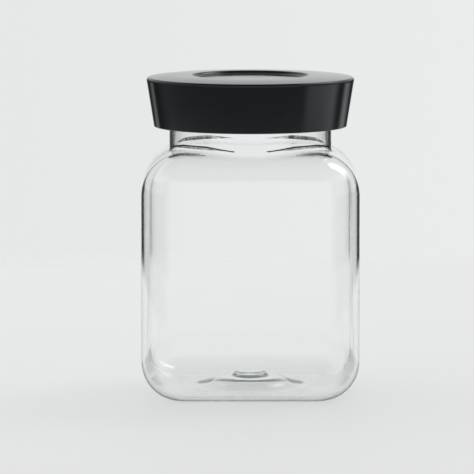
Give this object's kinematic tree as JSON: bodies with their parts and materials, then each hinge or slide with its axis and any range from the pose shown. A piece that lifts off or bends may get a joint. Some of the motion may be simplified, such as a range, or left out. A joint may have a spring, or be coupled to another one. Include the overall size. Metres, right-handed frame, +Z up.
{
  "type": "specimen jar",
  "caption": "Square clear glass jar with rounded corners, a short round neck, a pushed-up base and a black push-in lid with a dished top and a finned seal.",
  "frame": {"origin": "centre of the base, on the plane that the jar stands on", "axes": "+Z up along the neck's axis; X and Y square to the four flat sides"},
  "size_m": [0.112, 0.112, 0.1655],
  "materials": {
    "jar_glass": "clear, smooth, very slightly green at thick edges",
    "lid_black": "satin-gloss moulded black",
    "plug_black": "satin moulded black",
    "seal_silicone": "translucent milky silicone"
  },
  "bodies": {
    "jar": {"jar_body": "jar_glass"},
    "seal": {"seal_ring": "seal_silicone"},
    "lid": {"lid_shell": "lid_black", "lid_plug": "plug_black"}
  },
  "joints": [
    {"name": "lid_lift", "type": "slide", "parent": "jar", "child": "seal", "axis": [0, 0, 1], "range_m": [0, 0.036]},
    {"name": "lid_turn", "type": "hinge", "parent": "seal", "child": "lid", "pos_m": [0, 0, 0.15], "axis": [0, 0, 1], "continuous": true}
  ]
}
